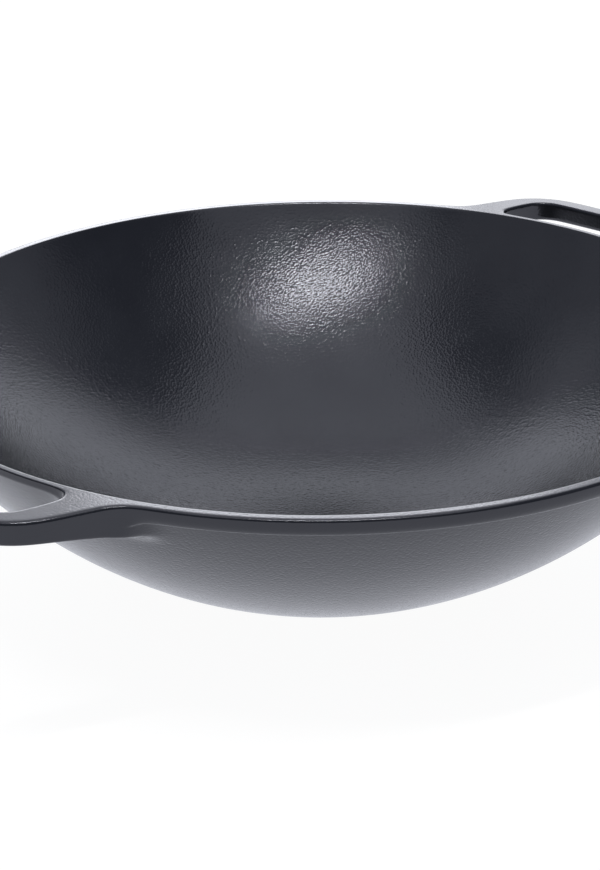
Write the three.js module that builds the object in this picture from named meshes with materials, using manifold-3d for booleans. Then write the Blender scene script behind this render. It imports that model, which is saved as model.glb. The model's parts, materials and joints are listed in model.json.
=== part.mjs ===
// Cast-iron wok: a flat-based round bowl with a thick rim band and two loop handles.
// One sand casting, shown as the seven bodies that its pattern is built from.
// Millimetres, +Z up, origin at the middle of the base's underside, handles along X.

import * as THREE from 'three';
import { mergeVertices } from 'three/addons/utils/BufferGeometryUtils.js';
import Module from 'manifold-3d';

// Bowl
const RIM_DIAMETER = 356;
const HEIGHT = 99;
const BASE_DIAMETER = 120;
const WALL_CURVE = 222; // outer radius of the arc that the wall's profile follows
const WALL = 3.6;
const FLOOR = 5; // thickness in the middle, where the dished floor is lowest
const FLOOR_CURVE = 170; // radius of the arc that takes the wall's inside down to the floor's middle
const BASE_DISC_DIAMETER = 90; // of the upright parting between the base disc and the lower wall
const LOWER_WALL_TOP = 24; // height of the level plane between the lower and middle wall
const MIDDLE_WALL_TOP = 56; // and of the one between the middle and upper wall

// Rim band, proud of the wall below it
const BAND_HEIGHT = 6.4;
const BAND_STEP = 4;
const RIM_ROUNDING = 0.8;

// Loop handles, widths taken across the handle at the rim and at the bar's outer face
const HANDLE_REACH = 31.5;
const HANDLE_ROOT_WIDTH = 113;
const HANDLE_TIP_WIDTH = 89.5;
const HANDLE_CORNER = 30;
const HANDLE_ROOT_FILLET = 18;
const BAR_WIDTH = 8.7;
const BAR_DEPTH = 9.2;
const BAR_ROUNDING = 2;

// Each handle deepens towards its roots, from this far out to this depth at the band
const ROOT_RUN = 19;
const ROOT_DEPTH = 12.6;

// Finger holes
const HOLE_ROOT_LENGTH = 85;
const HOLE_TIP_LENGTH = 73;
const HOLE_TIP_CORNER = 13;
const HOLE_RIM_CORNER = 7;
const HOLE_BITE = 1.8; // how far the holes cut into the band, which leaves the bare wall there

// Parting gap between a handle's root and the band and wall that carry it
const ROOT_GAP = 0.3;

// Fineness of the faceted rounds
const TURN_STEPS = 72;
const WALL_STEPS = 4;
const CORNER_STEPS = 8;
const ROUNDING_STEPS = 3;

// Derived places
const rimRadius = RIM_DIAMETER / 2;
const baseRadius = BASE_DIAMETER / 2;
const discRadius = BASE_DISC_DIAMETER / 2;
const bandBottom = HEIGHT - BAND_HEIGHT;
const wallTopRadius = rimRadius - BAND_STEP;
const barFace = rimRadius + HANDLE_REACH;
const holeFace = barFace - BAR_WIDTH;
const holeEdge = rimRadius - HOLE_BITE;
const footRadius = wallTopRadius - 2 * ROOT_DEPTH; // inside the bowl, where the feet are cut off
const footBottom = HEIGHT - 2 * ROOT_DEPTH;

// Centre of the profile arc through the base's edge and the wall's top edge
function profileCentre() {
  const bottom = new THREE.Vector2(baseRadius, 0);
  const top = new THREE.Vector2(wallTopRadius, bandBottom);
  const half = bottom.distanceTo(top) / 2;
  const along = top.clone().sub(bottom).normalize();
  const inward = new THREE.Vector2(-along.y, along.x);
  const middle = bottom.clone().lerp(top, 0.5);
  return middle.addScaledVector(inward, Math.sqrt(WALL_CURVE ** 2 - half ** 2));
}

const centre = profileCentre();
const seat = new THREE.Vector2(wallTopRadius, bandBottom); // where the band meets the wall's outside

const outerCurve = WALL_CURVE;
const innerCurve = WALL_CURVE - WALL;

// Centre of the floor's arc, which is level above the base and runs into the wall's inner curve
function dishCentre() {
  const height = FLOOR + FLOOR_CURVE;
  const apart = innerCurve - FLOOR_CURVE;
  return new THREE.Vector2(centre.x + Math.sqrt(apart ** 2 - (centre.y - height) ** 2), height);
}

const dish = dishCentre();
const dishTop = dish.clone().sub(centre).setLength(innerCurve).add(centre); // where it meets the wall

// Point at a height on the arc of a radius about an axis
function onArc(axis, radius, height) {
  const drop = axis.y - height;
  return new THREE.Vector2(axis.x + Math.sqrt(radius ** 2 - drop ** 2), height);
}

// Evenly spaced points of the shorter arc about an axis from one point to another
function sweep(axis, start, end, steps) {
  const from = start.clone().sub(axis);
  const to = end.clone().sub(axis);
  const turn = Math.atan2(from.cross(to), from.dot(to));
  const points = [];
  for (let i = 0; i <= steps; i += 1) {
    const arm = from.clone().rotateAround(new THREE.Vector2(0, 0), (turn * i) / steps);
    points.push(arm.add(axis));
  }
  return points;
}

// Evenly spaced points up the wall's arc of a radius from one height to another
function arcUp(radius, low, high, steps) {
  return sweep(centre, onArc(centre, radius, low), onArc(centre, radius, high), steps);
}

// Point of the dished floor at a distance from the wok's axis
function onDish(radius) {
  return new THREE.Vector2(radius, dish.y - Math.sqrt(FLOOR_CURVE ** 2 - (radius - dish.x) ** 2));
}

// Point of the inside at a height, on the floor's arc or the wall's
function onInside(height) {
  if (height < dishTop.y) return onArc(dish, FLOOR_CURVE, height);
  return onArc(centre, innerCurve, height);
}

// Points up the inside from one of its points to another, by way of the point where its arcs meet
function insideUp(start, end) {
  if (end.y <= dishTop.y) return sweep(dish, start, end, WALL_STEPS);
  if (start.y >= dishTop.y) return sweep(centre, start, end, WALL_STEPS);
  const below = sweep(dish, start, dishTop, WALL_STEPS);
  return [...below, ...sweep(centre, dishTop, end, WALL_STEPS).slice(1)];
}

// Solid of revolution about Z from a profile of radius and height
function turned(profile) {
  const geometry = new THREE.LatheGeometry(profile, TURN_STEPS);
  return geometry.rotateX(Math.PI / 2);
}

// Middle of the flat base, with the middle of the dished floor on top
function baseDisc() {
  const level = onDish(Math.max(dish.x, 0));
  const floor = sweep(dish, level, onDish(discRadius), ROUNDING_STEPS).reverse();
  const middle = new THREE.Vector2(0, level.y);
  return turned([new THREE.Vector2(0, 0), new THREE.Vector2(discRadius, 0), ...floor, middle]);
}

// Edge of the flat base with the first stretch of the wall, around the base disc
function lowerWall() {
  const outside = arcUp(outerCurve, 0, LOWER_WALL_TOP, WALL_STEPS);
  const inside = insideUp(onDish(discRadius), onInside(LOWER_WALL_TOP)).reverse();
  const underside = new THREE.Vector2(discRadius, 0);
  return turned([underside, ...outside, ...inside, underside.clone()]);
}

// Stretch of the curved wall between two heights, cut level at both
function wallRing(low, high) {
  const outside = arcUp(outerCurve, low, high, WALL_STEPS);
  const inside = insideUp(onInside(low), onInside(high)).reverse();
  return turned([...outside, ...inside, outside[0].clone()]);
}

// Quarter round between two directions, angles in radians
function cornerRound(x, y, radius, from, to, steps) {
  const points = [];
  for (let i = 0; i <= steps; i += 1) {
    const angle = from + ((to - from) * i) / steps;
    points.push(new THREE.Vector2(x + radius * Math.cos(angle), y + radius * Math.sin(angle)));
  }
  return points;
}

// Upright band with a flat top, its inner face carrying on the wall's inner curve, cut by the finger holes
function rimBand() {
  const quarter = Math.PI / 2;
  const roundAxis = rimRadius - RIM_ROUNDING;
  const low = cornerRound(roundAxis, bandBottom + RIM_ROUNDING, RIM_ROUNDING, -quarter, 0, ROUNDING_STEPS);
  const high = cornerRound(roundAxis, HEIGHT - RIM_ROUNDING, RIM_ROUNDING, 0, quarter, ROUNDING_STEPS);
  const lip = onInside(HEIGHT);
  lip.x += RIM_ROUNDING;
  const inside = arcUp(innerCurve, bandBottom, HEIGHT - RIM_ROUNDING, ROUNDING_STEPS).reverse();
  const ring = toSolid(turned([seat, ...low, ...high, lip, ...inside, seat]));
  return toGeometry(ring.subtract(holeSpace()));
}

// Round of a radius between the straight runs before and after a corner
function roundOff(before, corner, after, radius) {
  const back = before.clone().sub(corner).normalize();
  const ahead = after.clone().sub(corner).normalize();
  const half = Math.acos(back.dot(ahead)) / 2;
  const middle = back.clone().add(ahead).normalize();
  const axis = corner.clone().addScaledVector(middle, radius / Math.sin(half));
  const start = corner.clone().addScaledVector(back, radius / Math.tan(half));
  const end = corner.clone().addScaledVector(ahead, radius / Math.tan(half));
  return sweep(axis, start, end, CORNER_STEPS);
}

// Round of a radius that runs from a straight flank into a circle about the wok's axis,
// with outward the side of the flank that the round's axis is on
function runIntoCircle(circle, root, tip, radius, outward) {
  const along = tip.clone().sub(root).normalize();
  const side = new THREE.Vector2(-along.y, along.x).multiplyScalar(outward * radius);
  const base = root.clone().add(side);
  const reach = circle + radius;
  const near = -base.dot(along);
  const offset = Math.sqrt(reach ** 2 - base.lengthSq() + near ** 2);
  const axis = base.clone().addScaledVector(along, near + offset);
  const onCircle = axis.clone().setLength(circle);
  const onFlank = axis.clone().sub(side);
  return sweep(axis, onCircle, onFlank, CORNER_STEPS);
}

const flip = (point) => new THREE.Vector2(point.x, -point.y);

// Half of a handle's outer plan, from inside the wall to the bar
function outerSide() {
  const root = new THREE.Vector2(rimRadius, HANDLE_ROOT_WIDTH / 2);
  const tip = new THREE.Vector2(barFace, HANDLE_TIP_WIDTH / 2);
  const intoRim = runIntoCircle(rimRadius, root, tip, HANDLE_ROOT_FILLET, 1);
  const foot = intoRim[0].clone().setLength(footRadius);
  return [foot, ...intoRim, ...roundOff(root, tip, new THREE.Vector2(barFace, 0), HANDLE_CORNER)];
}

// Half of a finger hole's plan, from inside the wall to the bar
function holeSide() {
  const root = new THREE.Vector2(rimRadius, HOLE_ROOT_LENGTH / 2);
  const tip = new THREE.Vector2(holeFace, HOLE_TIP_LENGTH / 2);
  const intoBand = runIntoCircle(wallTopRadius, root, tip, HOLE_RIM_CORNER, -1);
  const foot = intoBand[0].clone().setLength(footRadius);
  return [foot, ...intoBand, ...roundOff(root, tip, new THREE.Vector2(holeFace, 0), HOLE_TIP_CORNER)];
}

// Plan of one handle: a C of which both feet end inside the wall, to be cut to fit
function handlePlan() {
  const outer = outerSide();
  const hole = holeSide();
  const outline = [...outer.map(flip), ...outer.reverse(), ...hole, ...hole.map(flip).reverse()];
  return new THREE.Shape(outline);
}

// Space of the two finger holes in the band, outside the bare wall
function holeSpace() {
  const hole = holeSide();
  const plan = new THREE.Shape([...hole, ...hole.map(flip).reverse()]);
  const low = bandBottom - BAND_HEIGHT;
  const above = HEIGHT + BAND_HEIGHT;
  const shaft = new THREE.ExtrudeGeometry(plan, { depth: above - low, bevelEnabled: false });
  shaft.translate(0, 0, low);
  const bareTop = centre.y - Math.sqrt(outerCurve ** 2 - (holeEdge - centre.x) ** 2);
  const offWall = turned([
    new THREE.Vector2(wallTopRadius, low),
    new THREE.Vector2(barFace, low),
    new THREE.Vector2(barFace, above),
    new THREE.Vector2(holeEdge, above),
    ...arcUp(outerCurve, bandBottom, bareTop, ROUNDING_STEPS).slice(1).reverse(),
    seat,
    new THREE.Vector2(wallTopRadius, low),
  ]);
  const right = toSolid(shaft);
  return right.add(right.rotate([0, 0, 180])).intersect(toSolid(offWall));
}

const wasm = await Module();
wasm.setup();

// Closed solid for joining and cutting, from a geometry's positions alone
function toSolid(geometry) {
  const bare = geometry.clone();
  bare.deleteAttribute('normal');
  bare.deleteAttribute('uv');
  const merged = mergeVertices(bare);
  const vertProperties = new Float32Array(merged.attributes.position.array);
  const triVerts = new Uint32Array(merged.index.array);
  return new wasm.Manifold(new wasm.Mesh({ numProp: 3, vertProperties, triVerts }));
}

// Geometry of a cut solid
function toGeometry(solid) {
  const mesh = solid.getMesh();
  const geometry = new THREE.BufferGeometry();
  geometry.setAttribute('position', new THREE.BufferAttribute(mesh.vertProperties, 3));
  geometry.setIndex(new THREE.BufferAttribute(mesh.triVerts, 1));
  geometry.computeVertexNormals();
  return geometry;
}

// The bowl's outside, one parting gap larger and filled to the axis
function bowlSpace() {
  const low = footBottom - ROOT_DEPTH;
  const wall = arcUp(outerCurve + ROOT_GAP, low, bandBottom - ROOT_GAP, WALL_STEPS);
  const bandFace = rimRadius + ROOT_GAP;
  const above = HEIGHT + BAR_DEPTH;
  return turned([
    new THREE.Vector2(0, low),
    ...wall,
    new THREE.Vector2(bandFace, bandBottom - ROOT_GAP),
    new THREE.Vector2(bandFace, above),
    new THREE.Vector2(0, above),
  ]);
}

// Space under the handles: level below the bar, falling away towards the wall
function underSpace() {
  const low = footBottom - ROOT_DEPTH;
  const slope = (ROOT_DEPTH - BAR_DEPTH) / ROOT_RUN;
  const footDepth = ROOT_DEPTH + slope * (rimRadius - footRadius);
  const past = barFace + HANDLE_CORNER;
  return turned([
    new THREE.Vector2(footRadius, low),
    new THREE.Vector2(past, low),
    new THREE.Vector2(past, HEIGHT - BAR_DEPTH),
    new THREE.Vector2(rimRadius + ROOT_RUN, HEIGHT - BAR_DEPTH),
    new THREE.Vector2(footRadius, HEIGHT - footDepth),
    new THREE.Vector2(footRadius, low),
  ]);
}

// Bar bent into a C with a rounded top edge, level with the rim, its feet cut to the bowl
function loopHandle() {
  const bar = new THREE.ExtrudeGeometry(handlePlan(), {
    depth: HEIGHT - footBottom - 2 * BAR_ROUNDING,
    bevelThickness: BAR_ROUNDING,
    bevelSize: BAR_ROUNDING,
    bevelOffset: -BAR_ROUNDING,
    bevelSegments: ROUNDING_STEPS,
  });
  bar.translate(0, 0, footBottom + BAR_ROUNDING);
  const shaped = toSolid(bar).subtract(toSolid(underSpace()));
  return toGeometry(shaped.subtract(toSolid(bowlSpace())));
}

// Black seasoned iron, paler on the rim and handles where their open tops catch the light
const SEASONED_BLACK = 0x3a3b40;
const RIM_GREY = 0x4a4b50;
const IRON_ROUGHNESS = 0.55;
const IRON_METALNESS = 0.35;

function piece(name, geometry, color) {
  const iron = { color, roughness: IRON_ROUGHNESS, metalness: IRON_METALNESS };
  const mesh = new THREE.Mesh(geometry, new THREE.MeshStandardMaterial(iron));
  mesh.name = name;
  return mesh;
}

const wok = new THREE.Group();
wok.add(piece('base_disc', baseDisc(), SEASONED_BLACK));
wok.add(piece('lower_wall', lowerWall(), SEASONED_BLACK));
wok.add(piece('middle_wall', wallRing(LOWER_WALL_TOP, MIDDLE_WALL_TOP), SEASONED_BLACK));
wok.add(piece('upper_wall', wallRing(MIDDLE_WALL_TOP, bandBottom), SEASONED_BLACK));
wok.add(piece('rim_band', rimBand(), RIM_GREY));

const handle = loopHandle();
const rightHandle = piece('right_handle', handle, RIM_GREY);
const leftHandle = piece('left_handle', handle, RIM_GREY);
leftHandle.rotation.z = Math.PI;
wok.add(rightHandle, leftHandle);

export default wok;
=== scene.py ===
import json
import math

import bmesh
import bpy
from bpy.props import FloatProperty, FloatVectorProperty, PointerProperty
from mathutils import Matrix, Quaternion, Vector

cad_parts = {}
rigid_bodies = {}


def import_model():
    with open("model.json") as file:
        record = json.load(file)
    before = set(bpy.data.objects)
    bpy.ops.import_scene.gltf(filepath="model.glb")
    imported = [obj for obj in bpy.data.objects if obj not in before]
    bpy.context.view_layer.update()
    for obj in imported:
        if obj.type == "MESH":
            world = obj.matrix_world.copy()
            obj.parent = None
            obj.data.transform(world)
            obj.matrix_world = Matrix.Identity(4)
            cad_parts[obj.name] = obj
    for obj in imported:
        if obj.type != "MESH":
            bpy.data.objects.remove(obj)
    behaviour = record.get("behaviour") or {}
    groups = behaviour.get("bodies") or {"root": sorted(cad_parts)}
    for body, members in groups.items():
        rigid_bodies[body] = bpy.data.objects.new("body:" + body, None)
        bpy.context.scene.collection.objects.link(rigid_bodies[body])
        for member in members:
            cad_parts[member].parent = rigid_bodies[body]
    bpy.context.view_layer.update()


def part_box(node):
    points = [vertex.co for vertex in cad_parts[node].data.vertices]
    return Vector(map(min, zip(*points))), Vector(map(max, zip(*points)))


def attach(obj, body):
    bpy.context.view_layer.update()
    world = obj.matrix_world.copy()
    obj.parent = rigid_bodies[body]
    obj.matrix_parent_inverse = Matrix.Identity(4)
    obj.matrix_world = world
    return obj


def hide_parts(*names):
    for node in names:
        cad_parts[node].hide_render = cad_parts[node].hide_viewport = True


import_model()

bl_info = {
    "name": "Cast-Iron Wok",
    "version": (1, 0, 0),
    "blender": (4, 5, 0),
    "location": "View3D > Sidebar > Wok",
    "description": "Models a seasoned cast-iron wok around its packed solids and sets a studio for it",
    "category": "Add Mesh",
}

MM = 0.001
TINY = 0.01 * MM
RIM_LOW, RIM_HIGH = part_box("rim_band")
DISC_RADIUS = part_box("base_disc")[1].x
LOWER_WALL_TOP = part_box("lower_wall")[1].z
MIDDLE_WALL_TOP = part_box("middle_wall")[1].z
HANDLE_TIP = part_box("right_handle")[1].x

# Regions of the casting, in the order of their material slots while it is whole
REGIONS = ("base", "lower_wall", "middle_wall", "upper_wall", "rim", "handle")


class BowlSizes(bpy.types.PropertyGroup):
    """Sizes of the turned bowl and its rim band"""

    rim_radius: FloatProperty(
        name="Rim radius", description="Radius of the rim band's outer face",
        default=RIM_HIGH.y, unit="LENGTH",
    )
    height: FloatProperty(
        name="Height", description="From the base to the rim's flat top",
        default=RIM_HIGH.z, unit="LENGTH",
    )
    base_radius: FloatProperty(
        name="Base radius", description="Radius of the flat underside",
        default=60 * MM, unit="LENGTH",
    )
    wall_curve: FloatProperty(
        name="Wall curve", description="Outer radius of the wall's arc",
        default=222 * MM, unit="LENGTH",
    )
    wall: FloatProperty(
        name="Wall", description="Thickness of the wall",
        default=3.6 * MM, unit="LENGTH",
    )
    floor: FloatProperty(
        name="Floor", description="Thickness in the middle of the dished floor",
        default=5 * MM, unit="LENGTH",
    )
    floor_curve: FloatProperty(
        name="Floor curve", description="Radius of the arc from wall to floor",
        default=170 * MM, unit="LENGTH",
    )
    base_blend: FloatProperty(
        name="Base blend", description="Reach of the soft bend at the base's edge",
        default=2.5 * MM, unit="LENGTH",
    )
    band_height: FloatProperty(
        name="Band height", description="Height of the rim band",
        default=RIM_HIGH.z - RIM_LOW.z, unit="LENGTH",
    )
    band_step: FloatProperty(
        name="Band step", description="How far the band stands proud of the wall",
        default=4 * MM, unit="LENGTH",
    )
    band_hold: FloatProperty(
        name="Band hold", description="Distance of the loops at the band's lower edge",
        default=1.4 * MM, unit="LENGTH",
    )
    band_tuck: FloatProperty(
        name="Band tuck", description="How far the band's lower edge draws in",
        default=1.3 * MM, unit="LENGTH",
    )
    rim_hold: FloatProperty(
        name="Rim hold", description="Distance of the loops at the rim's outer edge",
        default=2 * MM, unit="LENGTH",
    )
    lip_hold: FloatProperty(
        name="Lip hold", description="Distance of the loops at the rim's inner edge",
        default=0.9 * MM, unit="LENGTH",
    )


class HandleSizes(bpy.types.PropertyGroup):
    """Sizes of the two loop handles"""

    bar_face: FloatProperty(
        name="Bar face", description="From the wok's axis to the bar's outer face",
        default=HANDLE_TIP, unit="LENGTH",
    )
    root_width: FloatProperty(
        name="Root width", description="Width over the flanks at the rim",
        default=113 * MM, unit="LENGTH",
    )
    tip_width: FloatProperty(
        name="Tip width", description="Width over the flanks at the bar's face",
        default=89.5 * MM, unit="LENGTH",
    )
    corner: FloatProperty(
        name="Corner", description="Radius of the handle's outer corners",
        default=30 * MM, unit="LENGTH",
    )
    root_fillet: FloatProperty(
        name="Root fillet", description="Radius where a flank runs into the rim",
        default=18 * MM, unit="LENGTH",
    )
    bar_width: FloatProperty(
        name="Bar width", description="Width of the bar",
        default=8.7 * MM, unit="LENGTH",
    )
    bar_depth: FloatProperty(
        name="Bar depth", description="Depth of the bar",
        default=9.2 * MM, unit="LENGTH",
    )
    root_depth: FloatProperty(
        name="Root depth", description="Depth of the handle at the band",
        default=12.6 * MM, unit="LENGTH",
    )
    root_run: FloatProperty(
        name="Root run", description="Run over which the root tapers to the bar",
        default=19 * MM, unit="LENGTH",
    )
    root_drop: FloatProperty(
        name="Root drop", description="How far below the rim the root leaves the wall",
        default=16 * MM, unit="LENGTH",
    )
    hole_hold: FloatProperty(
        name="Hole hold", description="Distance of the loops at the hole's edges",
        default=1.75 * MM, unit="LENGTH",
    )
    outer_hold: FloatProperty(
        name="Outer hold", description="Distance of the loops at the outer edges",
        default=3.2 * MM, unit="LENGTH",
    )
    upper_hold: FloatProperty(
        name="Upper hold", description="Distance of the rows at the top edges",
        default=2.4 * MM, unit="LENGTH",
    )
    lower_hold: FloatProperty(
        name="Lower hold", description="Distance of the rows at the lower edges",
        default=2.1 * MM, unit="LENGTH",
    )
    hole_lift: FloatProperty(
        name="Hole lift", description="How far the bar's lower hole edge is raised",
        default=0.8 * MM, unit="LENGTH",
    )
    hole_root_length: FloatProperty(
        name="Hole root length", description="Length of the finger hole at the rim",
        default=85 * MM, unit="LENGTH",
    )
    hole_tip_length: FloatProperty(
        name="Hole tip length", description="Length of the finger hole at the bar",
        default=73 * MM, unit="LENGTH",
    )
    hole_tip_corner: FloatProperty(
        name="Hole tip corner", description="Corner radius of the hole at the bar",
        default=13 * MM, unit="LENGTH",
    )
    hole_rim_corner: FloatProperty(
        name="Hole rim corner", description="Corner radius of the hole at the rim",
        default=6 * MM, unit="LENGTH",
    )
    hole_bite: FloatProperty(
        name="Hole bite", description="How far the hole cuts into the band",
        default=1.8 * MM, unit="LENGTH",
    )
    bare_hold: FloatProperty(
        name="Bare hold", description="Distance of the loops where the wall is bare",
        default=0.8 * MM, unit="LENGTH",
    )


class IronFinish(bpy.types.PropertyGroup):
    """Colours and grain of the seasoned iron"""

    dark: FloatVectorProperty(
        name="Dark", description="Colour of the seasoning",
        subtype="COLOR", size=4, default=(0.009, 0.0095, 0.011, 1),
    )
    pale: FloatVectorProperty(
        name="Pale", description="Colour of its paler clouds",
        subtype="COLOR", size=4, default=(0.014, 0.015, 0.017, 1),
    )
    sheen: FloatVectorProperty(
        name="Sheen", description="Tint of the reflections",
        subtype="COLOR", size=4, default=(0.9, 0.91, 1, 1),
    )
    roughness: FloatProperty(
        name="Roughness", description="Middle roughness of the seasoning",
        default=0.17, subtype="FACTOR", min=0, max=1,
    )
    grain: FloatProperty(
        name="Grain", description="Spacing of the sand grains",
        default=1.05 * MM, unit="LENGTH",
    )
    grain_depth: FloatProperty(
        name="Grain depth", description="Depth between the sand grains",
        default=0.075 * MM, unit="LENGTH",
    )
    grit: FloatProperty(
        name="Grit", description="Spacing of the finer unevenness",
        default=0.6 * MM, unit="LENGTH",
    )
    grit_depth: FloatProperty(
        name="Grit depth", description="Depth of the finer unevenness",
        default=0.015 * MM, unit="LENGTH",
    )
    rubbed: FloatProperty(
        name="Rubbed", description="Share of the grain left on the tops of rim and handles",
        default=0.25, subtype="FACTOR", min=0, max=1,
    )
    rubbed_reach: FloatProperty(
        name="Rubbed reach", description="How far below the top the grain fades",
        default=14 * MM, unit="LENGTH",
    )
    cloud: FloatProperty(
        name="Cloud", description="Spacing of the pale clouds",
        default=30 * MM, unit="LENGTH",
    )
    pit_spacing: FloatProperty(
        name="Pit spacing", description="Spacing of the small pits",
        default=25 * MM, unit="LENGTH",
    )
    pit: FloatProperty(name="Pit", description="Radius of a pit", default=0.4 * MM, unit="LENGTH")
    pit_depth: FloatProperty(
        name="Pit depth", description="Depth of a pit",
        default=0.15 * MM, unit="LENGTH",
    )


class StudioLook(bpy.types.PropertyGroup):
    """Colours and strengths of the studio"""

    floor: FloatVectorProperty(
        name="Floor", description="Colour of the floor",
        subtype="COLOR", size=4, default=(0.12, 0.12, 0.12, 1),
    )
    mirrored: FloatVectorProperty(
        name="Mirrored", description="Glow that the iron mirrors",
        subtype="COLOR", size=4, default=(0.9, 0.92, 1, 1),
    )
    floor_glow: FloatProperty(
        name="Floor glow", description="Light that the floor sends out by itself",
        default=0.95, min=0,
    )
    lamp: FloatVectorProperty(
        name="Lamp", description="Colour of the softboxes",
        subtype="COLOR", size=3, default=(0.95, 0.96, 1),
    )
    key_lamp: FloatVectorProperty(
        name="Key lamp", description="Colour of the key softbox",
        subtype="COLOR", size=3, default=(0.98, 0.98, 0.95),
    )
    surround: FloatVectorProperty(
        name="Surround", description="Colour of the dim room",
        subtype="COLOR", size=4, default=(0.16, 0.175, 0.23, 1),
    )
    key: FloatProperty(name="Key", description="Brightness of the key softbox", default=66, min=0)
    top: FloatProperty(name="Top", description="Brightness of the top softbox", default=0.9, min=0)
    back: FloatProperty(name="Back", description="Brightness of the back softbox", default=1.45, min=0)
    halo: FloatProperty(
        name="Halo", description="Brightness around the key softbox",
        default=0.65, min=0,
    )
    horizon: FloatProperty(
        name="Horizon", description="Brightness of the lowest lamp behind",
        default=3.5, min=0,
    )
    far_handle: FloatProperty(
        name="Far handle", description="Brightness of the strip that the far handle mirrors",
        default=0.9, min=0,
    )
    strip: FloatProperty(name="Strip", description="Brightness of the strip behind", default=4, min=0)
    fill: FloatProperty(name="Fill", description="Brightness of the side fills", default=0.26, min=0)
    back_fill: FloatProperty(
        name="Back fill", description="Brightness of the fills behind",
        default=0.37, min=0,
    )


# Plan and profile geometry


def profile_centre(bowl):
    """Centre, as radius and height, of the arc through the base's edge and the wall's top edge."""
    bottom = Vector((bowl.base_radius, 0))
    top = Vector((bowl.rim_radius - bowl.band_step, bowl.height - bowl.band_height))
    half = (top - bottom).length / 2
    along = (top - bottom).normalized()
    inward = Vector((-along.y, along.x))
    return bottom.lerp(top, 0.5) + inward * math.sqrt(bowl.wall_curve ** 2 - half ** 2)


def on_arc(bowl, radius, height):
    """Point of the profile at a height on the arc of a radius."""
    centre = profile_centre(bowl)
    return Vector((centre.x + math.sqrt(radius ** 2 - (centre.y - height) ** 2), height))


def arc_between(bowl, radius, low, high, steps):
    """Points up the wall's arc from one height to another, both ends included, evenly turned."""
    centre, start, end = profile_centre(bowl), on_arc(bowl, radius, low), on_arc(bowl, radius, high)
    return [arc_about(centre, start, end, i / steps) for i in range(steps + 1)]


def dish_centre(bowl):
    """Centre of the floor's arc, which is level above the base and runs into the wall's inner curve."""
    centre, height = profile_centre(bowl), bowl.floor + bowl.floor_curve
    apart = bowl.wall_curve - bowl.wall - bowl.floor_curve
    return Vector((centre.x + math.sqrt(apart ** 2 - (centre.y - height) ** 2), height))


def dish_at_height(bowl, height):
    """Point of the floor's arc at a height."""
    dish = dish_centre(bowl)
    return Vector((dish.x + math.sqrt(bowl.floor_curve ** 2 - (dish.y - height) ** 2), height))


def dish_at_radius(bowl, radius):
    """Point of the floor's arc at a distance from the wok's axis."""
    dish = dish_centre(bowl)
    return Vector((radius, dish.y - math.sqrt(bowl.floor_curve ** 2 - (radius - dish.x) ** 2)))


def arc_about(axis, start, end, share):
    """Point at a share of the shorter way round an axis from one point to another."""
    turn = (end - axis).angle_signed(start - axis)
    return axis + Matrix.Rotation(turn * share, 2) @ (start - axis)


def run_into_circle(circle, root, tip, radius, outward):
    """Axis and two ends of the round that takes a straight flank into a circle about the wok's axis."""
    along = (tip - root).normalized()
    side = Vector((-along.y, along.x)) * outward * radius
    base = root + side
    near = -base.dot(along)
    axis = base + along * (near + math.sqrt((circle + radius) ** 2 - base.length_squared + near ** 2))
    return axis, axis.normalized() * circle, axis - side


def round_off(before, corner, after, radius):
    """Axis and two ends of the round between the straight runs that meet at a corner."""
    back, ahead = (before - corner).normalized(), (after - corner).normalized()
    half = back.angle(ahead) / 2
    axis = corner + (back + ahead).normalized() * radius / math.sin(half)
    return axis, corner + back * radius / math.tan(half), corner + ahead * radius / math.tan(half)


# Editing helpers


def deselect_objects():
    for obj in bpy.context.selected_objects:
        obj.select_set(False)


def activate(obj):
    """Make one object the selected and active one."""
    deselect_objects()
    obj.select_set(True)
    bpy.context.view_layer.objects.active = obj


def edit(obj):
    activate(obj)
    bpy.ops.object.mode_set(mode="EDIT")


def done():
    bpy.ops.object.mode_set(mode="OBJECT")


def pick(obj, kind, test):
    """Select, in edit mode, only the vertices, edges or faces that pass a test."""
    bpy.ops.mesh.select_mode(type=kind)
    bpy.ops.mesh.select_all(action="DESELECT")
    mesh = bmesh.from_edit_mesh(obj.data)
    elements = {"VERT": mesh.verts, "EDGE": mesh.edges, "FACE": mesh.faces}[kind]
    for element in elements:
        if test(element):
            element.select_set(True)
    mesh.select_flush_mode()
    bmesh.update_edit_mesh(obj.data)


def pick_indexed(obj, wanted):
    wanted = set(wanted)
    pick(obj, "VERT", lambda vert: vert.index in wanted)


def apply_modifier(obj, modifier):
    activate(obj)
    bpy.ops.object.modifier_apply(modifier=modifier.name)


def plan_angle(point):
    return math.atan2(point.y, point.x)


# Bowl cage

HOLE_COLUMNS, ROOT_COLUMNS, RIM_COLUMNS = 3, 4, 19  # faces along a quarter of the rim
LOWER_ROWS, MIDDLE_ROWS, UPPER_ROWS, ROOT_ROWS = 4, 5, 4, 2  # faces up the outside of the wall
INNER_ROWS = 5  # faces up each ring's inside
TUCK_SHARES = (1, 0.4, 0.1)  # of the band's tuck, from its lower edge to half way up
RIM_EDGE_ROW = 6  # place of the rim's outer top edge in the band's rows
CORNER_PULL = 1 / 6  # share of a loop's distance by which smoothing draws in a corner of the cage


def handle_rounds(bowl, handle):
    """The four rounds of a half handle's plan, each an axis with two ends, from the rim to the bar."""
    rim, face, hole_face = bowl.rim_radius, handle.bar_face, handle.bar_face - handle.bar_width
    flank = Vector((rim, handle.root_width / 2)), Vector((face, handle.tip_width / 2))
    hole = Vector((rim, handle.hole_root_length / 2)), Vector((hole_face, handle.hole_tip_length / 2))
    return {
        "outer_root": run_into_circle(rim, *flank, handle.root_fillet, 1),
        "outer_tip": round_off(*flank, Vector((face, 0)), handle.corner),
        "inner_root": run_into_circle(rim - handle.hole_bite, *hole, handle.hole_rim_corner, -1),
        "inner_tip": round_off(*hole, Vector((hole_face, 0)), handle.hole_tip_corner),
    }


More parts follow.
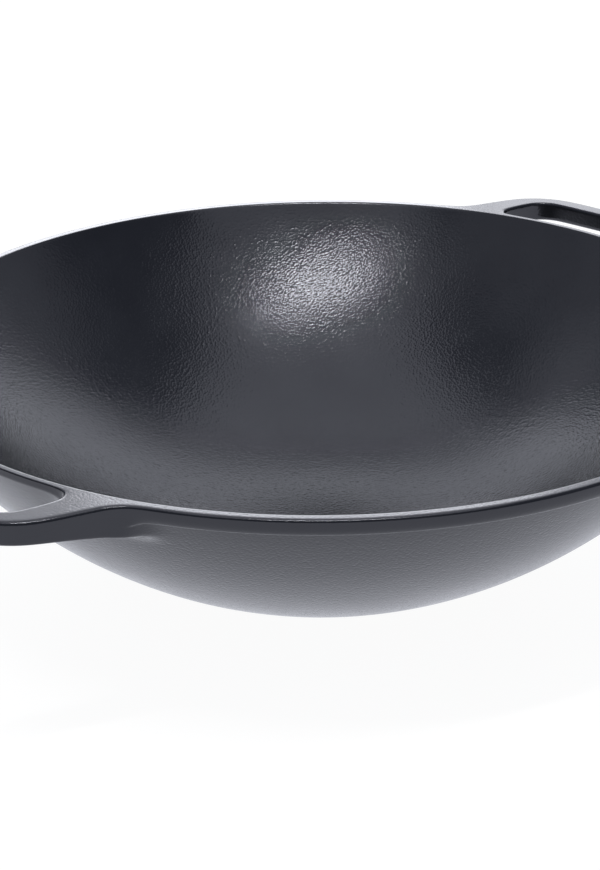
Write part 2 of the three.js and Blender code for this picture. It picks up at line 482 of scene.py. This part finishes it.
def band_rows(bowl):
    """Cage profile of the rim band, from its seat on the wall round to the lip."""
    rim, top = bowl.rim_radius, bowl.height
    band = top - bowl.band_height
    lip = on_arc(bowl, bowl.wall_curve - bowl.wall, top)
    low, above, middle = (rim - bowl.band_tuck * share for share in TUCK_SHARES)
    return [
        Vector((rim - bowl.band_step, band)),
        Vector((rim - bowl.band_step / 2, band)),
        Vector((low, band)),
        Vector((above, band + bowl.band_hold)),
        Vector((middle, (band + bowl.band_hold + top - bowl.rim_hold) / 2)),
        Vector((rim, top - bowl.rim_hold)),
        Vector((rim, top)),
        Vector((rim - bowl.rim_hold, top)),
        lip + Vector((bowl.lip_hold, 0)),
        lip,
    ]


def hole_rows(bowl, handle):
    """The same rows where a finger hole leaves the wall bare under a thin lip."""
    top, hold, outer = bowl.height, handle.bare_hold, bowl.wall_curve
    edge = bowl.rim_radius - handle.hole_bite
    centre = profile_centre(bowl)
    corner = centre.y - math.sqrt(outer ** 2 - (edge - centre.x) ** 2)
    low = top - bowl.band_height - bowl.band_hold * CORNER_PULL
    lip = on_arc(bowl, outer - bowl.wall, top)
    return [
        on_arc(bowl, outer, low),
        on_arc(bowl, outer, (low + corner - hold) / 2),
        on_arc(bowl, outer, corner - hold),
        Vector((edge, corner)),
        Vector((edge, corner + hold)),
        Vector((edge, top - hold)),
        Vector((edge, top)),
        Vector((edge - hold, top)),
        lip + Vector((hold, 0)),
        lip,
    ]


def bowl_profile(bowl, handle):
    """Points of the cage's profile, from the middle of the base round the rim to the floor's middle."""
    band = bowl.height - bowl.band_height
    outer, inner = bowl.wall_curve, bowl.wall_curve - bowl.wall
    root = bowl.height - handle.root_drop
    edge = on_arc(bowl, outer, 0)
    rise = (on_arc(bowl, outer, bowl.base_blend) - edge).normalized()
    dish = dish_centre(bowl)

    points = [Vector((DISC_RADIUS * share, 0)) for share in (0, 0.25, 0.6, 1)]
    points += [Vector((bowl.base_radius - bowl.base_blend, 0)), edge, edge + rise * bowl.base_blend]
    points += arc_between(bowl, outer, bowl.floor, LOWER_WALL_TOP, LOWER_ROWS)
    points += arc_between(bowl, outer, LOWER_WALL_TOP, MIDDLE_WALL_TOP, MIDDLE_ROWS)[1:]
    points += arc_between(bowl, outer, MIDDLE_WALL_TOP, root, UPPER_ROWS)[1:]
    points += arc_between(bowl, outer, root, band - bowl.band_hold, ROOT_ROWS)[1:]
    points += band_rows(bowl)
    points += [on_arc(bowl, inner, bowl.height - bowl.lip_hold)]
    points += reversed(arc_between(bowl, inner, MIDDLE_WALL_TOP, band, INNER_ROWS))
    lower = dish_at_height(bowl, LOWER_WALL_TOP)
    upper = dish_at_height(bowl, MIDDLE_WALL_TOP)
    steps = [step / INNER_ROWS for step in range(1, INNER_ROWS + 1)]
    points += [arc_about(dish, upper, lower, share) for share in steps]
    disc = dish_at_radius(bowl, DISC_RADIUS)
    points += [arc_about(dish, lower, disc, share) for share in steps]
    level = Vector((dish.x, bowl.floor))
    points += [arc_about(dish, disc, level, share) for share in (0.5, 1)]
    points += [Vector((dish.x * share, bowl.floor)) for share in (0.5, 0)]
    return points


class WOK_OT_bowl(bpy.types.Operator):
    """Turn a quarter of the bowl's cage from its profile"""

    bl_idname = "wok.bowl"
    bl_label = "Bowl"

    def execute(self, context):
        bowl, handle = context.scene.wok_bowl, context.scene.wok_handle
        deselect_objects()
        bpy.ops.mesh.primitive_plane_add(size=bowl.wall)
        obj = context.object
        obj.name = "wok_casting"
        bpy.ops.object.mode_set(mode="EDIT")
        bpy.ops.mesh.merge(type="CENTER")
        last = Vector((0, 0))
        for point in bowl_profile(bowl, handle)[1:]:
            step = (point.x - last.x, 0, point.y - last.y)
            bpy.ops.mesh.extrude_region_move(TRANSFORM_OT_translate={"value": step})
            last = point
        bpy.ops.mesh.select_all(action="SELECT")
        rounds = handle_rounds(bowl, handle)
        hole, flank = plan_angle(rounds["inner_root"][1]), plan_angle(rounds["outer_root"][1])
        quarter = math.pi / 2
        at = 0.0
        for angle, columns in ((hole, HOLE_COLUMNS), (flank, ROOT_COLUMNS), (quarter, RIM_COLUMNS)):
            bpy.ops.mesh.spin(steps=columns, angle=angle - at, center=(0, 0, 0), axis=(0, 0, -1))
            at = angle
        bpy.ops.mesh.select_all(action="SELECT")
        bpy.ops.mesh.remove_doubles(threshold=TINY)
        done()
        return {"FINISHED"}


# Handle cage

FLANK_ROWS = (0, 0.2, 0.43, 0.61, 0.70, 0.79, 0.90, 1)  # spacing of the rows between the held edges
COLUMN_SLACK = 0.1  # share of a column within which a vertex counts as on it
ANGLE_SLACK = 0.001  # radians past the finger hole's end that still count as in it


def half_handle_stations(bowl, handle):
    """Hole-side and outer points, in plan, of the sections from the rim to the middle of the bar."""
    rounds = handle_rounds(bowl, handle)
    stations = []
    for place, shares in (("root", (1 / 3, 2 / 3, 1)), ("tip", (0, 0.25, 0.5, 0.75, 1))):
        inner, outer = rounds[f"inner_{place}"], rounds[f"outer_{place}"]
        stations += [(arc_about(*inner, share), arc_about(*outer, share)) for share in shares]
    for share in (0.5, 0):
        along = rounds["outer_tip"][2].y * share
        hole_side = Vector((handle.bar_face - handle.bar_width, along))
        stations.append((hole_side, Vector((handle.bar_face, along))))
    return stations


def depth_at(bowl, handle, radius):
    """Depth of the handle below the rim's top at a distance from the wok's axis."""
    share = min(max((radius - bowl.rim_radius) / handle.root_run, 0), 1)
    return handle.root_depth + (handle.bar_depth - handle.root_depth) * share


class WOK_OT_handles(bpy.types.Operator):
    """Draw half a loop handle out of the bowl's cage, section by section"""

    bl_idname = "wok.handles"
    bl_label = "Handles"

    def execute(self, context):
        bowl, handle = context.scene.wok_bowl, context.scene.wok_handle
        obj = bpy.data.objects["wok_casting"]
        edit(obj)
        self.mark_root(obj, bowl, handle)
        self.bare_hole(obj, bowl, handle)
        column = bmesh.from_edit_mesh(obj.data).verts.layers.int["column"]
        pick(obj, "FACE", lambda face: all(vert[column] for vert in face.verts))
        for inner, outer in half_handle_stations(bowl, handle):
            self.carry_section(obj, bowl, handle, inner, outer)
        bpy.ops.mesh.delete(type="FACE")
        done()
        return {"FINISHED"}

    def mark_root(self, obj, bowl, handle):
        """Number the columns, from 1, and rows of the bowl's vertices that a root grows from."""
        rounds = handle_rounds(bowl, handle)
        hole, flank = plan_angle(rounds["inner_root"][1]), plan_angle(rounds["outer_root"][1])
        low = bowl.height - handle.root_drop - TINY
        profile = bowl_profile(bowl, handle)
        rim_edge = profile.index(band_rows(bowl)[RIM_EDGE_ROW])
        rows = [point for point in profile[: rim_edge + 1] if point.y > low][::-1]
        mesh = bmesh.from_edit_mesh(obj.data)
        column, row = (mesh.verts.layers.int.new(name) for name in ("column", "row"))
        marked = 0
        for vert in mesh.verts:
            share = (plan_angle(vert.co) - hole) / (flank - hole) * ROOT_COLUMNS
            spot = Vector((vert.co.xy.length, vert.co.z))
            nearest = min(range(len(rows)), key=lambda i: (rows[i] - spot).length)
            on_root = -COLUMN_SLACK < share < ROOT_COLUMNS + COLUMN_SLACK
            if on_root and (rows[nearest] - spot).length < TINY:
                vert[column], vert[row] = round(share) + 1, nearest
                marked += 1
        if marked != (ROOT_COLUMNS + 1) * (len(FLANK_ROWS) + 2):
            raise RuntimeError(f"The handle's root has {marked} vertices on the bowl's cage")

    def bare_hole(self, obj, bowl, handle):
        """Draw the band back to the bare wall inside the finger hole."""
        hole = plan_angle(handle_rounds(bowl, handle)["inner_root"][1])
        for old, new in zip(band_rows(bowl), hole_rows(bowl, handle)):
            def in_hole(vert):
                spot = Vector((vert.co.xy.length, vert.co.z))
                return plan_angle(vert.co) < hole + ANGLE_SLACK and (spot - old).length < TINY

            pick(obj, "VERT", in_hole)
            scale = new.x / old.x
            bpy.ops.transform.resize(value=(scale, scale, 1), center_override=(0, 0, 0))
            bpy.ops.transform.translate(value=(0, 0, new.y - old.y))

    def carry_section(self, obj, bowl, handle, inner, outer):
        """Extrude the handle's end and set its columns and rows at the next station."""
        bpy.ops.mesh.extrude_region_move(TRANSFORM_OT_translate={"value": (0, 0, 0)})
        mesh = bmesh.from_edit_mesh(obj.data)
        mesh.verts.index_update()
        column, row = (mesh.verts.layers.int[name] for name in ("column", "row"))
        places = {vert.index: (vert[column], vert[row]) for vert in mesh.verts if vert.select}
        width = (outer - inner).length
        depth = depth_at(bowl, handle, ((inner + outer) / 2).length)
        across = [0, handle.hole_hold, 0, width - handle.outer_hold, width]
        across[2] = (across[1] + across[3]) / 2
        held = depth - handle.lower_hold - handle.upper_hold
        down = [0] + [handle.upper_hold + held * share for share in FLANK_ROWS] + [depth]
        for column, reach in enumerate(across, 1):
            spot = inner.lerp(outer, reach / width)
            pick_indexed(obj, [i for i, place in places.items() if place[0] == column])
            bpy.ops.transform.resize(value=(0, 0, 1), center_override=(spot.x, spot.y, 0))
        for row, drop in enumerate(down):
            pick_indexed(obj, [i for i, place in places.items() if place[1] == row])
            bpy.ops.transform.resize(value=(1, 1, 0), center_override=(0, 0, bowl.height - drop))
        low_edge = [i for i, place in places.items() if place[0] == 1 and place[1] >= len(down) - 2]
        pick_indexed(obj, low_edge)
        bpy.ops.transform.translate(value=(0, 0, handle.hole_lift))
        pick(obj, "FACE", lambda face: all(vert.index in places for vert in face.verts))


# Whole casting

SMOOTHING = 2  # subdivision levels of the cage


def region_of(face, bowl, column):
    """Name of the casting's region that a face of the cage belongs to."""
    if all(vert[column] for vert in face.verts):
        return "handle"
    if max(vert.co.xy.length for vert in face.verts) < DISC_RADIUS + TINY:
        return "base"
    height = face.calc_center_median().z
    if height < LOWER_WALL_TOP:
        return "lower_wall"
    if height < MIDDLE_WALL_TOP:
        return "middle_wall"
    return "upper_wall" if height < bowl.height - bowl.band_height - TINY else "rim"


def assign_region(obj, name, test):
    pick(obj, "FACE", test)
    obj.active_material_index = REGIONS.index(name)
    bpy.ops.object.material_slot_assign()


class WOK_OT_casting(bpy.types.Operator):
    """Mark the cage's regions, mirror it and smooth it into the whole casting"""

    bl_idname = "wok.casting"
    bl_label = "Casting"

    def execute(self, context):
        bowl = context.scene.wok_bowl
        obj = bpy.data.objects["wok_casting"]
        for name in REGIONS:
            obj.data.materials.append(bpy.data.materials.new(name))
        edit(obj)
        column = bmesh.from_edit_mesh(obj.data).verts.layers.int["column"]
        for name in REGIONS:
            assign_region(obj, name, lambda face: region_of(face, bowl, column) == name)
        done()
        for name in ("column", "row"):
            obj.data.attributes.remove(obj.data.attributes[name])
        mirror = obj.modifiers.new("Mirror", "MIRROR")
        mirror.use_axis = (True, True, False)
        mirror.merge_threshold = TINY
        apply_modifier(obj, mirror)
        edit(obj)
        bpy.ops.mesh.select_all(action="SELECT")
        bpy.ops.mesh.remove_doubles(threshold=TINY)
        bpy.ops.mesh.normals_make_consistent(inside=False)
        done()
        smooth = obj.modifiers.new("Subdivision", "SUBSURF")
        smooth.levels = smooth.render_levels = SMOOTHING
        apply_modifier(obj, smooth)
        bpy.ops.object.shade_smooth()
        return {"FINISHED"}


# Pieces

PIECES = {
    "base": ("cast_base", "base_disc"),
    "lower_wall": ("cast_lower_wall", "lower_wall"),
    "middle_wall": ("cast_middle_wall", "middle_wall"),
    "upper_wall": ("cast_upper_wall", "upper_wall"),
    "rim": ("cast_rim", "rim_band"),
}
HANDLES = {1: ("cast_right_handle", "right_handle"), -1: ("cast_left_handle", "left_handle")}
FACES_A_STEP = 2 ** SMOOTHING
PARTING_REACH = 3 * MM  # how far from a parting its open edges may lie
BELOW_CORNER = 0.2  # share of the band's hold, a little more than smoothing draws its corner down
TOP_EDGE = 0.45 * MM  # depth below the rim within which an edge counts as a root's top edge


def fill_roots(obj):
    """Close each open root with a grid of faces, which take the material that is active."""
    for side in (1, -1):
        for end in (1, -1):
            pick(obj, "EDGE", lambda edge: edge.is_boundary and in_quadrant(edge.verts[0].co, side, end))
            mesh = bmesh.from_edit_mesh(obj.data)
            loop = {vert for edge in mesh.edges if edge.select for vert in edge.verts}
            if not loop:
                continue
            rim_top = max(vert.co.z for vert in loop)
            top_edge = [vert for vert in loop if vert.co.z > rim_top - TOP_EDGE]
            mesh.select_history.clear()
            mesh.select_history.add(max(top_edge, key=lambda vert: abs(vert.co.y)))
            bmesh.update_edit_mesh(obj.data)
            bpy.ops.mesh.fill_grid(span=ROOT_COLUMNS * FACES_A_STEP)


def in_quadrant(spot, side, end):
    return spot.x * side > 0 and spot.y * end > 0


def close_partings(obj, partings):
    """Bridge the inner and outer outlines of a piece at each of its partings."""
    edit(obj)
    for on_parting in partings:
        pick(obj, "EDGE", lambda edge: edge.is_boundary and on_parting(edge.verts[0].co))
        bpy.ops.mesh.bridge_edge_loops()
    bpy.ops.mesh.select_all(action="SELECT")
    bpy.ops.mesh.normals_make_consistent(inside=False)
    done()


def at_disc(spot):
    """Whether a place is on the upright parting around the base disc."""
    return spot.xy.length < DISC_RADIUS + PARTING_REACH


def at_level(height):
    """Test for a place on the level parting at a height."""
    return lambda spot: not at_disc(spot) and abs(spot.z - height) < PARTING_REACH


def keep_casting_normals(obj, whole):
    """Shade a piece with the whole casting's normals, so that no parting shows."""
    transfer = obj.modifiers.new("Casting normals", "DATA_TRANSFER")
    transfer.object = whole
    transfer.use_loop_data = True
    transfer.data_types_loops = {"CUSTOM_NORMAL"}
    transfer.loop_mapping = "NEAREST_NORMAL"
    apply_modifier(obj, transfer)


class WOK_OT_pieces(bpy.types.Operator):
    """Part the casting into its named pieces, each closed, and set them on the frame"""

    bl_idname = "wok.pieces"
    bl_label = "Pieces"

    def execute(self, context):
        bowl = context.scene.wok_bowl
        obj = bpy.data.objects["wok_casting"]
        activate(obj)
        bpy.ops.object.duplicate()
        whole = context.object
        whole.name = "whole_casting"
        before = set(bpy.data.objects)
        edit(obj)
        handle = obj.active_material_index = REGIONS.index("handle")
        pick(obj, "FACE", lambda face: face.material_index == handle)
        bpy.ops.mesh.separate(type="SELECTED")
        fill_roots(obj)
        band_corner = bowl.height - bowl.band_height - bowl.band_hold * BELOW_CORNER
        for name, above in (("rim", True), ("upper_wall", False)):
            def in_region(face):
                is_above = face.calc_center_median().z > band_corner
                return face.material_index == handle and is_above == above

            assign_region(obj, name, in_region)
        bpy.ops.mesh.separate(type="MATERIAL")
        done()
        parted = [part for part in bpy.data.objects if part not in before] + [obj]
        pieces = {part.data.materials[part.data.polygons[0].material_index].name: part for part in parted}
        if set(pieces) != set(REGIONS):
            raise RuntimeError(f"The casting parted into {sorted(pieces)}")
        low, middle = at_level(LOWER_WALL_TOP), at_level(MIDDLE_WALL_TOP)
        band = at_level(bowl.height - bowl.band_height)
        ends = {"base": [at_disc], "lower_wall": [at_disc, low], "middle_wall": [low, middle]}
        ends.update({"upper_wall": [middle, band], "rim": [band]})
        for region, (name, node) in PIECES.items():
            close_partings(pieces[region], ends[region])
            self.set_on_frame(pieces[region], whole, name, node)
        pair = pieces["handle"]
        edit(pair)
        fill_roots(pair)
        bpy.ops.mesh.select_all(action="SELECT")
        bpy.ops.mesh.normals_make_consistent(inside=False)
        bpy.ops.mesh.separate(type="LOOSE")
        done()
        for part in list(context.selected_objects):
            side = 1 if part.data.vertices[0].co.x > 0 else -1
            self.set_on_frame(part, whole, *HANDLES[side])
        bpy.data.objects.remove(whole)
        for name in REGIONS:
            bpy.data.materials.remove(bpy.data.materials[name])
        return {"FINISHED"}

    def set_on_frame(self, obj, whole, name, node):
        obj.name = name
        obj.data.name = name
        keep_casting_normals(obj, whole)
        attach(obj, "root")
        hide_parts(node)


# Finish

SEASONING_IOR = 1.6
GLOSS_SWING = 0.03  # of the roughness, either way
CLOUD_COLOUR, CLOUD_GLOSS = (0.35, 0.65), (0.3, 0.7)  # noise from dark to pale, and from gloss to satin
CLOUD_DETAIL, GRIT_DETAIL = 4, 1
RUBBED_FLAT = 1 * MM  # below the top, where the rubbing is complete


def seasoned_iron(finish, rim_top):
    """Black seasoned iron with pits, paler clouds and a casting's grain, rubbed down at the top."""
    material = bpy.data.materials.new("seasoned_iron")
    material.use_nodes = True
    nodes, links = material.node_tree.nodes, material.node_tree.links
    shader = nodes["Principled BSDF"]
    shader.inputs["IOR"].default_value = SEASONING_IOR
    shader.inputs["Specular Tint"].default_value = finish.sheen
    coords = nodes.new("ShaderNodeTexCoord")

    def noise(spacing, detail):
        texture = nodes.new("ShaderNodeTexNoise")
        texture.inputs["Scale"].default_value = 1 / spacing
        texture.inputs["Detail"].default_value = detail
        links.new(coords.outputs["Object"], texture.inputs["Vector"])
        return texture.outputs["Fac"]

    def remap(value, low, high, to_low, to_high):
        ramp = nodes.new("ShaderNodeMapRange")
        ends = {"From Min": low, "From Max": high, "To Min": to_low, "To Max": to_high}
        for slot, setting in ends.items():
            ramp.inputs[slot].default_value = setting
        links.new(value, ramp.inputs["Value"])
        return ramp.outputs["Result"]

    def bump(height, depth, under=None, strength=None):
        relief = nodes.new("ShaderNodeBump")
        relief.inputs["Distance"].default_value = depth
        links.new(height, relief.inputs["Height"])
        if under:
            links.new(under, relief.inputs["Normal"])
        if strength:
            links.new(strength, relief.inputs["Strength"])
        return relief.outputs["Normal"]

    clouds = noise(finish.cloud, CLOUD_DETAIL)
    shade = nodes.new("ShaderNodeMix")
    shade.data_type = "RGBA"
    shade.inputs["A"].default_value = finish.dark
    shade.inputs["B"].default_value = finish.pale
    links.new(remap(clouds, *CLOUD_COLOUR, 0, 1), shade.inputs["Factor"])
    links.new(shade.outputs["Result"], shader.inputs["Base Color"])
    gloss = remap(clouds, *CLOUD_GLOSS, finish.roughness - GLOSS_SWING, finish.roughness + GLOSS_SWING)
    links.new(gloss, shader.inputs["Roughness"])

    def cells(spacing):
        texture = nodes.new("ShaderNodeTexVoronoi")
        texture.inputs["Scale"].default_value = 1 / spacing
        links.new(coords.outputs["Object"], texture.inputs["Vector"])
        return texture.outputs["Distance"]

    def domed(value):
        square = nodes.new("ShaderNodeMath")
        square.operation = "MULTIPLY"
        links.new(value, square.inputs[0])
        links.new(value, square.inputs[1])
        return square.outputs["Value"]

    place = nodes.new("ShaderNodeSeparateXYZ")
    links.new(coords.outputs["Object"], place.inputs["Vector"])
    fade = rim_top - finish.rubbed_reach, rim_top - RUBBED_FLAT
    worn = remap(place.outputs["Z"], *fade, 1, finish.rubbed)
    surface = bump(domed(cells(finish.grain)), -finish.grain_depth, strength=worn)
    surface = bump(noise(finish.grit, GRIT_DETAIL), finish.grit_depth, surface, worn)
    pit = remap(cells(finish.pit_spacing), 0, finish.pit / finish.pit_spacing, 0, 1)
    surface = bump(pit, finish.pit_depth, surface)
    links.new(surface, shader.inputs["Normal"])
    return material


class WOK_OT_iron(bpy.types.Operator):
    """Give every piece of the casting its seasoned iron finish"""

    bl_idname = "wok.iron"
    bl_label = "Iron finish"

    def execute(self, context):
        iron = seasoned_iron(context.scene.wok_finish, context.scene.wok_bowl.height)
        for name, _ in [*PIECES.values(), *HANDLES.values()]:
            obj = bpy.data.objects[name]
            obj.data.materials.clear()
            obj.data.materials.append(iron)
        return {"FINISHED"}


# Studio

# Camera fitted to the photo's rim, band and handles, placed about the middle of the rim's top
CAMERA_DISTANCE = 0.8231
CAMERA_ELEVATION = math.radians(20.879)
CAMERA_AZIMUTH = math.radians(-47.5)
CAMERA_PITCH = math.radians(23.932)
CAMERA_YAW = math.radians(-0.711)
CAMERA_ROLL = math.radians(-0.698)
CAMERA_LENS = 82.65
FLOOR_RADIUS, FLOOR_SIDES, FLOOR_ROUGHNESS = 3, 96, 0.9

# Softboxes: place to the right of, beyond and above the wok as the camera sees it, width and height,
# brightness and colour in the studio's settings, and roll in degrees
LAMPS = {
    "key_softbox": ((0.01, -0.53, 1.399), (0.6, 0.05), "key", "key_lamp", 23),
    "key_halo": ((0.05, -0.6, 1.399), (1.5, 1), "halo", "lamp", 0),
    "top_softbox": ((0, 0.32, 1.45), (1.1, 1.2), "top", "lamp", 0),
    "back_softbox": ((0.1, 1.3, 0.73), (1.85, 1.2), "back", "lamp", 0),
    "back_strip": ((0, 2.4, 1.28), (0.8, 0.3), "strip", "lamp", 0),
    "horizon_strip": ((-0.17, 1.4, 0.48), (0.65, 0.26), "horizon", "lamp", 0),
    "handle_strip": ((0.43, 1.4, 0.48), (0.5, 0.3), "far_handle", "lamp", 0),
    "left_fill": ((-1.3, 0.4, 1), (0.9, 0.9), "fill", "lamp", 0),
    "front_fill": ((-1.25, -0.5, 1.399), (0.9, 0.9), "fill", "lamp", 0),
    "right_fill": ((1.35, 0.63, 0.85), (0.9, 0.9), "fill", "lamp", 0),
    "left_back_fill": ((-1.05, 1.15, 1.4), (1, 0.8), "back_fill", "lamp", 0),
    "right_back_fill": ((1.38, 1.35, 1.06), (0.55, 0.5), "back_fill", "lamp", 0),
}


def from_view(right, away, up):
    """Point in the frame from its place beside, beyond and above the wok as the camera sees it."""
    turn = Matrix.Rotation(CAMERA_AZIMUTH, 3, "Z")
    return turn @ Vector((right, away, up))


def softbox(name, place, aim, size, radiance, colour, roll):
    """Rectangular lamp of a surface brightness, facing a point and rolled by degrees."""
    lamp = bpy.data.lights.new(name, "AREA")
    lamp.shape = "RECTANGLE"
    lamp.size, lamp.size_y = size
    lamp.energy = radiance * math.pi * size[0] * size[1]
    lamp.color = colour
    obj = bpy.data.objects.new(name, lamp)
    bpy.context.scene.collection.objects.link(obj)
    obj.location = place
    obj.rotation_mode = "QUATERNION"
    facing = (aim - place).to_track_quat("-Z", "Y")
    obj.rotation_quaternion = facing @ Quaternion((0, 0, 1), math.radians(roll))
    obj.visible_camera = False


class WOK_OT_stage(bpy.types.Operator):
    """Set the floor, lamps, world and camera"""

    bl_idname = "wok.stage"
    bl_label = "Studio"

    def execute(self, context):
        scene, look = context.scene, context.scene.wok_studio
        scene.view_settings.view_transform = "Standard"
        self.floor(look)
        self.lamps(look)
        self.world(scene, look)
        self.camera(scene)
        return {"FINISHED"}

    def floor(self, look):
        deselect_objects()
        bpy.ops.mesh.primitive_circle_add(vertices=FLOOR_SIDES, radius=FLOOR_RADIUS, fill_type="NGON")
        obj = bpy.context.object
        obj.name = "studio_floor"
        obj.data.materials.append(floor_paint(look))

    def lamps(self, look):
        rim = Vector((0, 0, RIM_HIGH.z))
        for name, (place, size, brightness, colour, roll) in LAMPS.items():
            shine = getattr(look, brightness), getattr(look, colour)
            softbox(name, from_view(*place), rim, size, *shine, roll)

    def world(self, scene, look):
        world = bpy.data.worlds.new("studio_world")
        world.use_nodes = True
        world.node_tree.nodes["Background"].inputs["Color"].default_value = look.surround
        scene.world = world

    def camera(self, scene):
        camera = bpy.data.cameras.new("photo_camera")
        camera.lens = CAMERA_LENS
        obj = bpy.data.objects.new("photo_camera", camera)
        scene.collection.objects.link(obj)
        ahead = Vector((
            math.sin(CAMERA_YAW) * math.cos(CAMERA_PITCH),
            math.cos(CAMERA_YAW) * math.cos(CAMERA_PITCH),
            -math.sin(CAMERA_PITCH),
        ))
        right = Vector((math.cos(CAMERA_YAW), -math.sin(CAMERA_YAW), 0))
        right = Matrix.Rotation(-CAMERA_ROLL, 3, ahead) @ right
        up = right.cross(ahead)
        turn = Matrix.Rotation(CAMERA_AZIMUTH, 3, "Z")
        axes = turn @ Matrix((right, up, -ahead)).transposed()
        place = from_view(
            0,
            -CAMERA_DISTANCE * math.cos(CAMERA_ELEVATION),
            CAMERA_DISTANCE * math.sin(CAMERA_ELEVATION),
        )
        obj.matrix_world = Matrix.Translation(place + Vector((0, 0, RIM_HIGH.z))) @ axes.to_4x4()
        scene.camera = obj


def floor_paint(look):
    """White studio floor that keeps the wok's shadow."""
    material = bpy.data.materials.new("floor_white")
    material.use_nodes = True
    nodes, links = material.node_tree.nodes, material.node_tree.links
    shader = nodes["Principled BSDF"]
    shader.inputs["Base Color"].default_value = look.floor
    shader.inputs["Roughness"].default_value = FLOOR_ROUGHNESS
    shader.inputs["Specular IOR Level"].default_value = 0
    rays = nodes.new("ShaderNodeLightPath")
    tint = nodes.new("ShaderNodeMix")
    tint.data_type = "RGBA"
    tint.inputs["A"].default_value = (1, 1, 1, 1)
    tint.inputs["B"].default_value = look.mirrored
    links.new(rays.outputs["Is Glossy Ray"], tint.inputs["Factor"])
    links.new(tint.outputs["Result"], shader.inputs["Emission Color"])
    seen = nodes.new("ShaderNodeMath")
    seen.operation = "MAXIMUM"
    links.new(rays.outputs["Is Camera Ray"], seen.inputs[0])
    links.new(rays.outputs["Is Glossy Ray"], seen.inputs[1])
    glow = nodes.new("ShaderNodeMath")
    glow.operation = "MULTIPLY"
    glow.inputs[1].default_value = look.floor_glow
    links.new(seen.outputs[0], glow.inputs[0])
    links.new(glow.outputs[0], shader.inputs["Emission Strength"])
    return material


class WOK_PT_panel(bpy.types.Panel):
    """Sidebar panel with the wok's settings and its building steps"""

    bl_idname = "WOK_PT_panel"
    bl_label = "Wok"
    bl_space_type = "VIEW_3D"
    bl_region_type = "UI"
    bl_category = "Wok"

    def draw(self, context):
        scene = context.scene
        for title, group in GROUPS:
            box = self.layout.box()
            box.label(text=title)
            settings = getattr(scene, group)
            for name in settings.__annotations__:
                box.prop(settings, name)
        for step in STEPS:
            self.layout.operator(step.bl_idname)


GROUPS = (
    ("Bowl", "wok_bowl"),
    ("Handles", "wok_handle"),
    ("Iron", "wok_finish"),
    ("Studio", "wok_studio"),
)
STEPS = (WOK_OT_bowl, WOK_OT_handles, WOK_OT_casting, WOK_OT_pieces, WOK_OT_iron, WOK_OT_stage)
CLASSES = (BowlSizes, HandleSizes, IronFinish, StudioLook, *STEPS, WOK_PT_panel)


def register():
    for cls in CLASSES:
        bpy.utils.register_class(cls)
    bpy.types.Scene.wok_bowl = PointerProperty(type=BowlSizes)
    bpy.types.Scene.wok_handle = PointerProperty(type=HandleSizes)
    bpy.types.Scene.wok_finish = PointerProperty(type=IronFinish)
    bpy.types.Scene.wok_studio = PointerProperty(type=StudioLook)


def unregister():
    for _, group in GROUPS:
        delattr(bpy.types.Scene, group)
    for cls in reversed(CLASSES):
        bpy.utils.unregister_class(cls)


def main():
    register()
    bpy.ops.wok.bowl()
    bpy.ops.wok.handles()
    bpy.ops.wok.casting()
    bpy.ops.wok.pieces()
    bpy.ops.wok.iron()
    bpy.ops.wok.stage()


if __name__ == "__main__":
    main()
